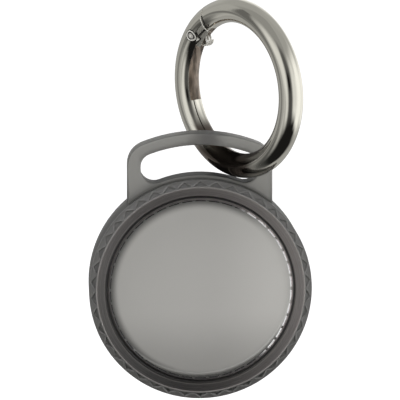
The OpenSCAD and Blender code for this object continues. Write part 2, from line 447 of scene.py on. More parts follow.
def case_section():
    """Radius and depth of the case's surface, from the middle of the back round to the pocket's floor."""
    back_slope = math.degrees(math.atan2(SWELL, BACK_Y - SWELL_Y))
    shoulder_slope = math.degrees(math.atan2(SHOULDER_IN - SWELL_ROUND, SWELL_SET - CREST_ROUND))
    bevel_slope = math.degrees(math.atan2(BEVEL_DROP, CREST_R - FURROW_R - FURROW_HALF))
    under_slope = math.degrees(math.atan2(LIP_UNDER, LIP_IN))
    back = arc((BACK_R - BACK_ROUND, BACK_Y - BACK_ROUND), BACK_ROUND, 90, back_slope, 8)
    swell = arc((SWELL_R - SWELL_ROUND, SWELL_Y), SWELL_ROUND, back_slope, -shoulder_slope, 6)
    crest = arc((CREST_R, FRONT_Y + CREST_ROUND), CREST_ROUND, -shoulder_slope, -90 - bevel_slope, 8)
    furrow = arc((FURROW_R, FRONT_Y + BEVEL_DROP), FURROW_HALF, 0, 180, 6)
    lip = arc((LIP_R + LIP_ROUND, LIP_Y), LIP_ROUND, -90, -180 - under_slope, 8)
    floor = arc((POCKET_R - FLOOR_ROUND, FLOOR_Y - FLOOR_ROUND), FLOOR_ROUND, 0, 90, 6)
    return (back + swell[:-1] + line(swell[-1], crest[0], RIB_STEPS)
            + crest[:-1] + line(crest[-1], furrow[0], 4) + furrow[:-1] + lip
            + line((POCKET_R, LIP_Y + LIP_UNDER), floor[0], 3) + floor)


section = case_section()
print("the section has", len(section), "points")

# %% Turn the section round the case's axis
REPEATS = 42
STEPS_PER_REPEAT = 24


def turn_section(name, section, steps):
    """Turns a section round the Y axis and closes it with a disc at each end."""
    angles = np.linspace(0, 2 * math.pi, steps, endpoint=False)
    return skin(name, [[(r * math.cos(a), y, r * math.sin(a)) for a in angles] for r, y in section])


case = turn_section("case", section, REPEATS * STEPS_PER_REPEAT)
print("the turned case has", triangles(case), "triangles")

# %% [markdown]
# ## Crossed ribs
# Round the front shoulder runs a lattice of fine crossed ribs, which gives the fingers a grip. In the mould
# it is cut as two sets of slanting grooves. A modeller could draw one rib and repeat it, but a rib lies on a
# curved shoulder and fades out at both edges. A Geometry Nodes tree does it with fields: each point of the
# fine mesh knows its angle and its radius, from which its distance to the nearest rib follows, and points
# between ribs sink in: fully next to the crest, and less next to the widest line. The lip has a fine notch at
# each repeat, made in the same tree. The material below uses the same place in the lattice for its tones.

# %% Place in the lattice


def lattice(tree, x, z, repeats, crest_radius, crossing_reach):
    """For a point: its radius, its turn in repeats, how far it is out from the crest, and how far inside
    the nearest triangle it is. On a rib that is 0, and between two ribs that part it is less than 0."""
    radius = distance(tree, x, z)
    turn = product(tree, calc(tree, "DIVIDE", calc(tree, "ARCTAN2", z, x), 2 * math.pi), repeats)
    reach = calc(tree, "SUBTRACT", radius, crest_radius)
    lean = calc(tree, "DIVIDE", reach, product(tree, crossing_reach, 2))
    inside = calc(tree, "SUBTRACT", calc(tree, "PINGPONG", turn, 0.5), lean)
    return radius, turn, reach, inside


print("a repeat spans", round(2 * math.pi * CREST_R / REPEATS, 2), "mm on the crest")

# %% Tree for the crossed ribs
LATTICE_R = CREST_R + 0.22
ZONE_START = 0.0
ZONE_END = 0.95
CROSSING_REACH = 0.85
RIB_INPUTS = {
    "Repeats": REPEATS,
    "Rear": (SWELL_Y + 0.15) * MM,
    "Crest Radius": LATTICE_R * MM,
    "Zone Start": ZONE_START * MM,
    "Zone End": ZONE_END * MM,
    "Crossing Reach": CROSSING_REACH * MM,
    "Rib Half Width": 0.04,
    "Rib Foot Half Width": 0.096,
    "Hollow Share": 0.3,
    "Start Fade": 0.12 * MM,
    "End Fade": 0.16 * MM,
    "Pit Depth": 0.22 * MM,
    "Lip Radius": LIP_R * MM,
    "Lip Reach": 0.3 * MM,
    "Notch Half Width": 0.1,
    "Notch Depth": 0.12 * MM,
}
SOCKETS = {int: "NodeSocketInt", float: "NodeSocketFloat"}


def start_tree(name, inputs):
    """A Geometry Nodes tree with a geometry in and out, the named inputs, and a material."""
    tree = bpy.data.node_groups.new(name, "GeometryNodeTree")
    tree.interface.new_socket("Geometry", in_out="INPUT", socket_type="NodeSocketGeometry")
    tree.interface.new_socket("Geometry", in_out="OUTPUT", socket_type="NodeSocketGeometry")
    for label, value in inputs.items():
        socket = tree.interface.new_socket(label, in_out="INPUT", socket_type=SOCKETS[type(value)])
        socket.default_value = value
    tree.interface.new_socket("Material", in_out="INPUT", socket_type="NodeSocketMaterial")
    return tree, add(tree, "NodeGroupInput").outputs


def end_tree(tree, geometry, material):
    """Ends a tree in real geometry with its material set."""
    real = add(tree, "GeometryNodeRealizeInstances", {"Geometry": geometry}).outputs[0]
    painted = add(tree, "GeometryNodeSetMaterial", {"Geometry": real, "Material": material}).outputs[0]
    add(tree, "NodeGroupOutput", {"Geometry": painted})
    return tree


def rib_tree():
    """Sinks the pits between the ribs into a fine mesh, and a notch into the lip at each repeat."""
    tree, given = start_tree("crossed ribs", RIB_INPUTS)
    x, y, z = parts(tree, add(tree, "GeometryNodeInputPosition").outputs[0])
    radius, turn, reach, inside = lattice(
        tree, x, z, given["Repeats"], given["Crest Radius"], given["Crossing Reach"])
    rib, foot = given["Rib Half Width"], given["Rib Foot Half Width"]
    pits = ramp(tree, inside, rib, foot)
    hollows = ramp(tree, product(tree, inside, -1), rib, foot, 0.0, given["Hollow Share"])
    between = calc(tree, "MAXIMUM", pits, hollows)
    start, end = given["Zone Start"], given["Zone End"]
    starts = ramp(tree, reach, start, calc(tree, "ADD", start, given["Start Fade"]))
    ends = ramp(tree, reach, calc(tree, "SUBTRACT", end, given["End Fade"]), end, 1.0, 0.0)
    ahead = calc(tree, "LESS_THAN", y, given["Rear"])
    sink = product(tree, starts, ends, between, ahead, given["Pit Depth"])
    from_lip = calc(tree, "ABSOLUTE", calc(tree, "SUBTRACT", radius, given["Lip Radius"]))
    at_lip = ramp(tree, from_lip, given["Lip Reach"], 0.0)
    notch = ramp(tree, calc(tree, "PINGPONG", turn, 0.5), given["Notch Half Width"], 0.0)
    cut = product(tree, notch, at_lip, ahead, given["Notch Depth"])
    inwards = product(tree, calc(tree, "ADD", sink, cut), -1)
    normal = add(tree, "GeometryNodeInputNormal").outputs[0]
    offset = add(tree, "ShaderNodeVectorMath", {0: normal, "Scale": inwards}, operation="SCALE").outputs[0]
    moved = add(tree, "GeometryNodeSetPosition", {"Geometry": given["Geometry"], "Offset": offset}).outputs[0]
    return end_tree(tree, moved, given["Material"])


def run_tree(thing, tree, **values):
    """Runs a tree on an object, with named inputs, and keeps the result as a plain mesh."""
    modifier = thing.modifiers.new(tree.name, "NODES")
    modifier.node_group = tree
    for item in tree.interface.items_tree:
        if item.in_out == "INPUT" and item.name in values:
            modifier[item.identifier] = values[item.name]
    return apply_modifiers(thing)


RIBS = rib_tree()
print("the rib tree has", len(RIBS.nodes), "nodes")

# %% [markdown]
# ## Smoke plastic
# The moulding is clear plastic with a little grey dye, so it is darker the more of it the light crosses. A
# flat grey would lose that. Here most of the surface is clear, glass-like plastic, and the volume inside
# absorbs light, so the thin floor is pale and the thick rim is dark by themselves. A small share scatters
# light at the surface, like milk glass, which makes the plastic look soft. What the volume can't give is
# painted on the colour by masks: painted shade in the pits, in the furrow beside the lip and on the dark edges
# that bend light away, painted highlights on the ribs, the crest and the furrow's edge, painted light on the
# face, painted light and shade behind the front, and a painted shadow of the ring on the slot's wall.
#
# The masks come first, each in a cell of its own, and the last cell lays their tones over each other.

# %% Place of a point on the case
RIM_Y = SWELL_Y + 0.3
FRONT_BANDS = {
    # radius, half width and softness of each band on the case's front, in millimetres
    "pits and ribs": (LATTICE_R + ZONE_END / 2, ZONE_END / 2 - 0.1, 0.15),
    "shoulder": (CREST_R + 0.7, 0.65, 0.1),
    "crest": (CREST_R - 0.02, 0.05, 0.09),
    "face": (CREST_R - 1.2, 1.15, 0.1),
    "furrow": (FURROW_R, 0.12, 0.12),
    "edge of the furrow": (FURROW_R + 0.45, 0.03, 0.08),
}


def place_on_case(tree, place):
    """What the masks ask of a point: where it lies, in metres and as shares of the case's radius."""
    x, y, z = parts(tree, place)
    radius, _, _, inside = lattice(tree, x, z, REPEATS, LATTICE_R * MM, CROSSING_REACH * MM)
    return {
        "place": place, "x": x, "y": y, "z": z, "radius": radius, "inside": inside,
        "across": calc(tree, "DIVIDE", x, SWELL_R * MM), "upward": calc(tree, "DIVIDE", z, SWELL_R * MM),
        "ahead": calc(tree, "LESS_THAN", y, RIM_Y * MM), "behind": calc(tree, "GREATER_THAN", y, RIM_Y * MM),
    }


def front_band(tree, at, name):
    """The mask of one band on the case's front."""
    return product(tree, mm_band(tree, at["radius"], *FRONT_BANDS[name]), at["ahead"])


print("bands on the front:", ", ".join(FRONT_BANDS))

# %% Painted shade in the pits, painted highlights on the ribs, and painted light on the face
# The pits' painted shade is strongest at the bottom and weaker at the right.
PIT_STRENGTH = 0.52
PIT_UPWARD = -0.42
PIT_AT_RIGHT = -0.22
UNEVEN_SCALE = 900.0
# FACE_TONE and the three weights after it paint light on the front face.
FACE_TONE = 0.43
FACE_RIGHTWARD = 0.36
FACE_UPWARD = 0.26
FACE_SIDES = 0.4
MARK_PITCH = 0.37
MARK_STRENGTH = 0.07


def pits_and_ribs(tree, at):
    """Masks of painted shade in the pits and of painted highlights on the ribs between them, both uneven."""
    zone, inside = front_band(tree, at, "pits and ribs"), at["inside"]
    uneven = noise(tree, at["place"], UNEVEN_SCALE, 1.0)
    at_right = ramp(tree, at["across"], 0.3, 0.9)
    strength = weighted(tree, PIT_STRENGTH, (at["upward"], PIT_UPWARD), (at_right, PIT_AT_RIGHT))
    pits = product(tree, zone, strength, ramp(tree, inside, 0.02, 0.12), ramp(tree, uneven, 0.35, 0.6, 0.25))
    ribs = product(tree, zone, band(tree, inside, 0.0, 0.04, 0.08), ramp(tree, uneven, 0.45, 0.6, 0.2))
    return pits, ribs


def turning_marks(tree, at):
    """Waves from the middle outwards, like the marks of a turning tool."""
    return calc(tree, "SINE", product(tree, at["radius"], 2 * math.pi / (MARK_PITCH * MM)))


def face_light_and_marks(tree, at, marks):
    """The front face: painted light that makes it lighter at the right, the top and the sides, with the turning
    marks, and darker towards the lip.
    """
    across = at["across"]
    lit = weighted(tree, FACE_TONE, (across, FACE_RIGHTWARD), (at["upward"], FACE_UPWARD),
                   (product(tree, across, across), FACE_SIDES))
    deeper = mm_ramp(tree, at["radius"], CREST_R - 1.6, CREST_R - 0.2, 0.8, 1.0)
    return product(tree, lit, weighted(tree, 1.0, (marks, MARK_STRENGTH)), deeper)


print("the turning marks are", MARK_PITCH, "mm apart")

# %% Painted shade on the narrow edges and below the ring, and painted light and shade behind the front
OUTER_WALL = ((BACK_R + SWELL_R) / 2, 0.3, 0.03)
LOOP_FROM = BACK_R - 0.4
# BELOW_RING and the three after it place a painted shadow of the ring on the slot's wall.
BELOW_RING = (5.2, 2.6, 2.2)
BELOW_RING_LOW = POCKET_R + 2.7
BELOW_RING_HIGH = POCKET_R + 4.2
BELOW_RING_SHARE = 0.9
# Where the painted shadow under the lip is full, this share of the tone is left.
LIP_SHADOW_TONE = 0.22
SHADE_RIGHT = 0.5
SHADE_UP = -1.7
SHADE_START = 13.6
SHADE_END = 15.2
DEEP_FROM = FRONT_Y + 3.0


def edge_masks(tree, at, facing):
    """Masks for painted shade: the case's outer wall with the loop's narrow edges, and of these the slot's wall
    below the ring, for a painted shadow of the ring.
    """
    radius, behind = at["radius"], at["behind"]
    outer_wall = product(tree, mm_band(tree, radius, *OUTER_WALL), behind)
    turned_away = ramp(tree, calc(tree, "ABSOLUTE", parts(tree, facing)[1]), 0.75, 0.5)
    narrow = product(tree, calc(tree, "GREATER_THAN", radius, LOOP_FROM * MM), turned_away, behind)
    edges = calc(tree, "MAXIMUM", outer_wall, narrow)
    below = product(tree, edges, mm_band(tree, at["x"], *BELOW_RING), BELOW_RING_SHARE,
                    calc(tree, "GREATER_THAN", radius, BELOW_RING_LOW * MM),
                    calc(tree, "LESS_THAN", radius, BELOW_RING_HIGH * MM))
    return edges, below


def light_and_shade_behind_front(tree, at):
    """A factor on all that lies more than 3 mm behind the front: a painted shadow under the lip, painted light
    at the right, and painted shade at the bottom.
    """
    deep = calc(tree, "GREATER_THAN", at["y"], DEEP_FROM * MM)
    off_right = calc(tree, "SUBTRACT", at["x"], SHADE_RIGHT * MM)
    off_up = calc(tree, "SUBTRACT", at["z"], SHADE_UP * MM)
    lip_shadow = product(tree, deep, calc(tree, "LESS_THAN", at["radius"], (POCKET_R + 0.05) * MM),
                        mm_ramp(tree, distance(tree, off_right, off_up), SHADE_START, SHADE_END),
                        ramp(tree, at["across"], 0.3, 0.75, 1.0, 0.2))
    to_right = product(tree, deep, ramp(tree, at["across"], 0.1, 0.9, 0.0, 0.3))
    to_bottom = product(tree, deep, ramp(tree, at["upward"], -0.25, -0.8, 0.0, 0.26))
    return product(tree, mix(tree, lip_shadow, 1.0, LIP_SHADOW_TONE), calc(tree, "ADD", to_right, 1.0),
                   calc(tree, "SUBTRACT", 1.0, to_bottom))


print("the pocket goes dark", SHADE_START, "to", SHADE_END, "mm from its middle")

# %% Smoke plastic
SMOKE_COLOUR = (0.30, 0.31, 0.27, 1.0)
SMOKE_DENSITY = 520.0
SMOKE_CLEAR = 0.85
SMOKE_TONE = 0.72
SHOULDER_TONE = 0.62
PIT_SHADE_TONE = 0.08
HIGHLIGHT_TONE = 1.0
FURROW_SHADE_TONE = 0.06
FURROW_EDGE_HIGHLIGHT = 0.25
EDGE_SHADE_TONE = 0.35
RING_SHADOW_TONE = 0.05
GREEN_SHARE = 0.975
BLUE_SHARE = 0.955
FACE_WARM = 0.06
CASE_ROUGH = 0.28
LOOP_ROUGH = 0.5
EDGE_ROUGH = 0.6


def smoke_tone(tree, at, face, marks, edges, ring_shadow):
    """The plastic's tone, with each mask's tone, most of them painted shade or painted highlights, laid over
    the ones before it.
    """
    pits, ribs = pits_and_ribs(tree, at)
    # Painted highlights on the ribs and along the crest.
    light = calc(tree, "MAXIMUM", ribs, front_band(tree, at, "crest"))
    tone = mix(tree, front_band(tree, at, "shoulder"), SMOKE_TONE, SHOULDER_TONE)
    tone = mix(tree, face, tone, face_light_and_marks(tree, at, marks))
    tone = mix(tree, pits, tone, PIT_SHADE_TONE)
    tone = mix(tree, light, tone, HIGHLIGHT_TONE)
    # Painted shade in the furrow, and a painted highlight along its edge.
    tone = mix(tree, front_band(tree, at, "furrow"), tone, FURROW_SHADE_TONE)
    lighter = calc(tree, "ADD", tone, FURROW_EDGE_HIGHLIGHT)
    tone = mix(tree, front_band(tree, at, "edge of the furrow"), tone, lighter)
    # Painted shade on the outer wall and the narrow edges, and a painted shadow of the ring on the slot's wall.
    tone = mix(tree, edges, tone, EDGE_SHADE_TONE)
    tone = mix(tree, ring_shadow, tone, RING_SHADOW_TONE)
    return product(tree, tone, light_and_shade_behind_front(tree, at))


def smoke_plastic():
    """Clear plastic with painted light and shade in its surface colour, and smoke inside that takes up light.
    """
    material, tree, place, facing = start_material("smoke_plastic")
    at = place_on_case(tree, place)
    face, marks = front_band(tree, at, "face"), turning_marks(tree, at)
    edges, ring_shadow = edge_masks(tree, at, facing)
    warm = product(tree, face, FACE_WARM)
    colour = tinted(tree, smoke_tone(tree, at, face, marks, edges, ring_shadow),
                    calc(tree, "SUBTRACT", GREEN_SHARE, warm), calc(tree, "SUBTRACT", BLUE_SHARE, warm))
    height = weighted(tree, product(tree, marks, face), (noise(tree, place, 120.0, 2.0), 0.5))
    bump = add(tree, "ShaderNodeBump", {"Height": height, "Strength": 0.5, "Distance": 0.00002}).outputs[0]
    dull = mm_ramp(tree, at["radius"], SWELL_R + 0.3, SWELL_R + 0.8, CASE_ROUGH, LOOP_ROUGH)
    smoke = add(tree, "ShaderNodeVolumeAbsorption", {"Color": SMOKE_COLOUR, "Density": SMOKE_DENSITY})
    return end_material(material, {
        "Base Color": colour, "Roughness": mix(tree, edges, dull, EDGE_ROUGH), "Normal": bump, "IOR": 1.49,
        "Transmission Weight": SMOKE_CLEAR, "Coat Weight": mix(tree, edges, 0.5, 0.0), "Coat Roughness": 0.08,
    }, smoke)


SMOKE = smoke_plastic()
run_tree(case, RIBS, Material=SMOKE)
print("the ribbed case has", triangles(case), "triangles")

# %% [markdown]
# ## Hanging loop
# The loop is a flat plate with a crescent slot, moulded in one with the case. Its outline is a set of arcs
# that run into each other. The plate is built as a stack of such outlines, drawn in a little towards each
# face, which gives its edges the small round that a mould leaves.

# %% Loop outline
LOOP_WIDTH = 24.1
LOOP_THICK = 3.4
BAND_WIDTH = 1.95
SLOT_WIDTH = 19.8
SLOT_HEIGHT = 5.05
SLOT_FLOOR = 3.1
LOOP_CORNER = 3.8
LOOP_ROOT = 2.0
SLOT_LOW_CORNER = 2.4
SLOT_TOP_CORNER = 2.2
LOOP_ROUND = 0.3

SLOT_LOW_R = POCKET_R + SLOT_FLOOR
SLOT_TOP_R = SLOT_LOW_R + SLOT_HEIGHT
LOOP_R = SLOT_TOP_R + BAND_WIDTH
LOOP_SINK_R = BACK_R - WALL_THICK / 2
SLOT_HALF = SLOT_WIDTH / 2
LOOP_HALF = LOOP_WIDTH / 2


def corner(half, radius, round_r, side):
    """Centre of a round corner that touches the upright line at half and an arc of radius round the axis."""
    return half - round_r, math.sqrt((radius + side * round_r) ** 2 - (half - round_r) ** 2)


def angle_of(point):
    """The angle of a point round the axis, in degrees."""
    return math.degrees(math.atan2(point[1], point[0]))


def both_sides(right):
    """A symmetric outline from its right half, which runs up to the middle."""
    return right + [(-x, z) for x, z in reversed(right)]


def loop_outline(inset):
    """Outline of the plate, drawn in by inset, from its right root round to its left one."""
    top = corner(LOOP_HALF, LOOP_R, LOOP_CORNER, -1)
    root_x = LOOP_HALF + LOOP_ROOT
    root = (root_x, math.sqrt((BACK_R + LOOP_ROOT) ** 2 - root_x ** 2))
    sink = arc((0, 0), LOOP_SINK_R, 90, angle_of(root) - 6, 20)
    fillet = arc(root, LOOP_ROOT + inset, angle_of(root) + 180, 180, 8)
    round_corner = arc(top, LOOP_CORNER - inset, 0, angle_of(top), 8)
    crown = arc((0, 0), LOOP_R - inset, angle_of(top), 90, 24)
    return both_sides(sink[1:] + fillet + round_corner + crown[1:-1])


def slot_outline(grow):
    """Outline of the crescent slot, grown by grow."""
    low = corner(SLOT_HALF, SLOT_LOW_R, SLOT_LOW_CORNER, 1)
    top = corner(SLOT_HALF, SLOT_TOP_R, SLOT_TOP_CORNER, -1)
    floor = arc((0, 0), SLOT_LOW_R - grow, 90, angle_of(low), 20)
    low_corner = arc(low, SLOT_LOW_CORNER + grow, angle_of(low) + 180, 360, 8)
    top_corner = arc(top, SLOT_TOP_CORNER + grow, 0, angle_of(top), 8)
    roof = arc((0, 0), SLOT_TOP_R + grow, angle_of(top), 90, 20)
    return both_sides(floor[1:-1] + low_corner + top_corner + roof[1:-1])


print("outline points:", len(loop_outline(0)), "and", len(slot_outline(0)))

# %% Loop plate


def make_plate(name):
    """Stacks the outlines from face to face, with rounded edges, and caps both faces."""
    half = LOOP_THICK / 2
    rim = arc((0, half - LOOP_ROUND), LOOP_ROUND, 90, 0, 5)
    levels = [(-y, LOOP_ROUND - r) for r, y in rim] + [(y, LOOP_ROUND - r) for r, y in reversed(rim)]
    rings = [(y, loop_outline(e), slot_outline(e)) for y, e in levels]
    outer, inner = len(rings[0][1]), len(rings[0][2])
    points = [(x, y, z) for y, out, hole in rings for x, z in out + hole]
    size = outer + inner
    faces = wall(len(rings), outer, stride=size) + wall(len(rings), inner, first=outer, stride=size)
    flat = [[Vector((x, z, 0)) for x, z in part] for part in rings[0][1:]]
    for base in (0, (len(rings) - 1) * size):
        faces += [tuple(base + i for i in corner_ids) for corner_ids in tessellate_polygon(flat)]
    return tidy_mesh(mesh_object(name, points, faces))


plate = make_plate("plate")
plate.data.materials.append(SMOKE)
print("the plate has", triangles(plate), "triangles")

# %% [markdown]
# ## One moulding
# Case and loop are one piece of plastic, so light must not meet a surface between them. A boolean union
# joins the two closed shapes into one.

# %% Join the case and the loop


def join_solids(body, other):
    """Unites two closed solids and deletes the second object."""
    union = body.modifiers.new("join", "BOOLEAN")
    union.operation = "UNION"
    union.object = other
    union.solver = "MANIFOLD"
    apply_modifiers(body)
    bpy.data.objects.remove(other)
    return body


shell = join_solids(case, plate)
shell.name = "soft_case"
shade(shell, 58)
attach(shell, "case")
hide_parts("shell")
print("the moulding has", triangles(shell), "triangles")

# %% [markdown]
# ## Painted glints along the lip
# The lip's edge is a thin shiny bead that the mould breaks into short dashes, one to a repeat of the ribs.
# Each dash is a rod on the lip whose colour is a painted glint: bright on the right side, where light from the
# left would catch it, and dark elsewhere. One dash is drawn as a short bent rod, and a Geometry Nodes tree
# turns copies of it round the axis, so the count is one number. The crest, where shoulder and face meet, shows
# as a fine pale line, a painted highlight on the same rod, bent all the way round.

# %% Lip beads
BEAD_SHARE = 0.78
BEAD_HALF = 0.19
BEAD_UNLIT_TONE = 0.03
BACKWARD = Vector((0, 1, 0))


def bent_rod(name, radius, y, half, span, steps):
    """A rod of round section, bent along a circle round the Y axis and centred on the X axis."""
    closed = span == 2 * math.pi
    angles = np.linspace(-span / 2, span / 2, steps + 1)[:steps if closed else None]
    outs = [Vector((math.cos(angle), 0, math.sin(angle))) for angle in angles]
    return round_rod(name, [(out * radius + BACKWARD * y, out, BACKWARD) for out in outs], half, 10, closed)


def turn_tree():
    """Copies of a piece, turned round the Y axis and spread evenly."""
    tree, given = start_tree("turned copies", {"Repeats": REPEATS, "Start Turn": 0.5})
    spots = add(tree, "GeometryNodeMeshLine", {"Count": given["Repeats"], "Offset": (0.0, 0.0, 0.0)})
    index = add(tree, "GeometryNodeInputIndex").outputs[0]
    share = calc(tree, "DIVIDE", calc(tree, "ADD", index, given["Start Turn"]), given["Repeats"])
    turn = add(tree, "ShaderNodeCombineXYZ", {1: product(tree, share, -2 * math.pi)}).outputs[0]
    copies = add(tree, "GeometryNodeInstanceOnPoints", {
        "Points": spots.outputs[0], "Instance": given["Geometry"], "Rotation": turn}).outputs[0]
    return end_tree(tree, copies, given["Material"])


def glint_material():
    """A painted glint on a shiny edge: bright at the right, where light from the left would catch it, and dark
    elsewhere.
    """
    material, tree, place, _ = start_material("painted_lip_glint")
    x, _, z = parts(tree, place)
    bright = band(tree, calc(tree, "DEGREES", calc(tree, "ARCTAN2", z, x)), 8.0, 46.0, 14.0)
    colour = tinted(tree, mix(tree, bright, BEAD_UNLIT_TONE, 1.0))
    return end_material(material, {"Base Color": colour, "Metallic": 0.1, "Roughness": 0.15})


beads = bent_rod("lip_glints", LIP_R + 0.04, LIP_Y + 0.06, BEAD_HALF, BEAD_SHARE * 2 * math.pi / REPEATS, 8)
run_tree(beads, turn_tree(), Material=glint_material())
shade(beads, 50)
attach(beads, "case")
print("the beads have", triangles(beads), "triangles")

# %% Painted highlight along the crest
CREST_HALF = 0.11
CREST_TONE = 0.14
CREST_SIDES = 0.16
CREST_RIGHTWARD = 0.05
CREST_UPWARD = 0.03


def crest_material():
    """A painted highlight along the crest, lighter at the sides than at the top and the bottom."""
    material, tree, place, _ = start_material("painted_crest_line")
    x, _, z = parts(tree, place)
    across, upward = calc(tree, "DIVIDE", x, CREST_R * MM), calc(tree, "DIVIDE", z, CREST_R * MM)
    tone = weighted(tree, CREST_TONE, (product(tree, across, across), CREST_SIDES), (across, CREST_RIGHTWARD),
                    (upward, CREST_UPWARD))
    return end_material(material, {"Base Color": tinted(tree, tone, blue=0.93), "Roughness": 0.35})


crest_highlight = bent_rod("crest_highlight", CREST_R, FRONT_Y + 0.12, CREST_HALF, 2 * math.pi, REPEATS * 6)
crest_highlight.data.materials.append(crest_material())
shade(crest_highlight, 50)
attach(crest_highlight, "case")
print("the crest bead has", triangles(crest_highlight), "triangles")

# %% [markdown]
# ## Polished ring
# The ring is a bent bar, plated with nickel and polished. Its look is all reflection, so the material is a
# plain mirror metal of a warm grey, with faint polishing marks that blur some reflections a little. Low down
# the real ring mirrors the dark plastic beside it. The clear plastic here is too pale in a mirror for that,
# so the metal's own colour goes darker there.

# %% Polished metal
RING_CENTRE = Vector((6.44, -1.5, 33.7955))
RING_AXIS = Vector((-0.788011, -0.615661, 0.0))
BAR_BEND = 13.05
BAR_HALF = 2.05
LOW_SHARES = (0.22, 0.19, 0.18)


def low_side(tree, place, colour):
    """The metal's colour, darker low on the ring as a painted reflection of the dark plastic: on its inner
    side, and at the left of its lowest part.
    """
    off = vector_calc(tree, "SUBTRACT", place, RING_CENTRE * MM)
    height = vector_calc(tree, "DOT_PRODUCT", off, RING_AXIS, output="Value")
    reach = vector_calc(tree, "LENGTH", off, output="Value")
    squares = calc(tree, "SUBTRACT", product(tree, reach, reach), product(tree, height, height))
    right, _, up = parts(tree, off)
    inner = mm_ramp(tree, calc(tree, "SQRT", squares), BAR_BEND - 0.9, BAR_BEND - 1.4)
    inner = product(tree, inner, mm_ramp(tree, up, -6.0, -8.0))
    lowest = product(tree, mm_ramp(tree, up, -9.0, -11.5), mm_ramp(tree, right, 2.5, 0.5))
    dark = calc(tree, "MAXIMUM", inner, lowest)
    tones = [mix(tree, dark, tone, tone * share) for tone, share in zip(colour, LOW_SHARES)]
    return add(tree, "ShaderNodeCombineColor", dict(enumerate(tones))).outputs[0]


def polished_metal(name, colour, rough_low, rough_high, dark_low=False):
    """A mirror metal with a cloudy polish and fine marks."""
    material, tree, place, _ = start_material(name)
    rough = ramp(tree, noise(tree, place, 300.0, 4.0), 0.35, 0.7, rough_low, rough_high)
    marks = noise(tree, place, 1500.0, 2.0)
    bump = add(tree, "ShaderNodeBump", {"Height": marks, "Strength": 0.03, "Distance": 0.0001}).outputs[0]
    colour = low_side(tree, place, colour) if dark_low else colour
    return end_material(material, {"Base Color": colour, "Metallic": 1.0, "Roughness": rough, "Normal": bump})


def dull_metal():
    """The unpolished plating inside the gate's channel, streaked by wear."""
    material, tree, place, _ = start_material("channel_plating")
    drawn = vector_calc(tree, "MULTIPLY", place, (1.0, 1.0, 0.3))
    tone = ramp(tree, noise(tree, drawn, 700.0, 3.0), 0.38, 0.6, 0.35, 1.0)
    colour = tinted(tree, tone, 0.9, 0.8)
    return end_material(material, {"Base Color": colour, "Roughness": 0.4, "Metallic": 0.2})


NICKEL = polished_metal("polished_nickel", (0.93, 0.905, 0.8, 1.0), 0.05, 0.09, dark_low=True)
RIVET_STEEL = polished_metal("rivet_steel", (0.88, 0.86, 0.82, 1.0), 0.08, 0.16)
SPRING_WIRE = polished_metal("spring_wire", (0.8, 0.79, 0.76, 1.0), 0.1, 0.2)
DULL = dull_metal()
print("materials:", sorted(material.name for material in bpy.data.materials))

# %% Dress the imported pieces
CHANNEL_DEPTH = 0.12


def dress(node, *materials):
    """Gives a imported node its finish."""
    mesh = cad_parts[node].data
    mesh.materials.clear()
    for material in materials:
        mesh.materials.append(material)
    return mesh


def bar_depth(point):
    """How far a point in metres lies from the middle line of the ring's bar, in millimetres."""
    off = point / MM - RING_CENTRE
    height = off.dot(RING_AXIS)
    return math.hypot((off - height * RING_AXIS).length - BAR_BEND, height)


dress("ring_body", NICKEL)
dress("hinge_pin", RIVET_STEEL)
dress("gate_spring", SPRING_WIRE)
gate_mesh = dress("gate", NICKEL, DULL)
for face in gate_mesh.polygons:
    face.material_index = int(bar_depth(face.center) < BAR_HALF - CHANNEL_DEPTH)
print("faces inside the gate's channel:", sum(face.material_index for face in gate_mesh.polygons))

# %% [markdown]
# ## Hinge details
# The rivet's head has a bright rim in a dark seat, and the seam between the ring's shoulder, its tongue and
# the gate is a stepped dark gap with bright edges. On the real ring these are edges of the stamped parts, and
# their brightness is a painted highlight. They lie on the curved bar, so each is a narrow strip along a line of
# points on the bar: an angle round the ring, and an angle round the bar. Small flat faces follow, the grey ones
# in painted shade and the bright ones in painted highlight, and then the spring's coil beside the tongue, also
# painted bright as a highlight. They could be parts of the imported model too, but they are thinner than its
# walls, so they are trim on its pieces.

# %% Places on the bar
UP = Vector((0, 0, 1))
ACROSS = UP.cross(RING_AXIS)
PIN_SPOT = Vector((0.375652, 6.26201, 41.4913))
PIN_RIGHT = (PIN_SPOT - RING_CENTRE).dot(ACROSS)
PIN_UP = (PIN_SPOT - RING_CENTRE).z
TIP_REACH = 15.18


def out_from_ring(along):
    """The direction outwards from the ring's middle, at an angle in its plane."""
    return ACROSS * math.cos(math.radians(along)) + UP * math.sin(math.radians(along))


def on_bar(along, around):
    """A point on the bar's surface, and the surface's outward direction there."""
    outward = out_from_ring(along)
    normal = outward * math.cos(math.radians(around)) + RING_AXIS * math.sin(math.radians(around))
    return RING_CENTRE + outward * BAR_BEND + normal * BAR_HALF, normal


def finely(corners, steps=6):
    """More points along a line with corners."""
    return [spot for a, b in zip(corners, corners[1:]) for spot in line(a, b, steps)] + [corners[-1]]


def round_pin(radius, steps=40):
    """Spots on the bar at one distance from the pin's middle."""
    spots = []
    for turn in np.linspace(0, 2 * math.pi, steps, endpoint=False):
        right, up = PIN_RIGHT + radius * math.cos(turn), PIN_UP + radius * math.sin(turn)
        reach = math.hypot(right, up) - BAR_BEND
        spots.append((math.degrees(math.atan2(up, right)), math.degrees(math.acos(reach / BAR_HALF))))
    return spots


def round_tip(steps=64):
    """Spots on the bar along the joint between the gate's tip and the ring, an arc about the pin."""
    pin_reach, pin_along = math.hypot(PIN_RIGHT, PIN_UP), math.degrees(math.atan2(PIN_UP, PIN_RIGHT))
    spots = []
    for around in np.linspace(0, 360, steps, endpoint=False):
        reach = BAR_BEND + BAR_HALF * math.cos(math.radians(around))
        share = (reach ** 2 + pin_reach ** 2 - TIP_REACH ** 2) / (2 * reach * pin_reach)
        spots.append((pin_along + math.degrees(math.acos(share)), around))
    return spots


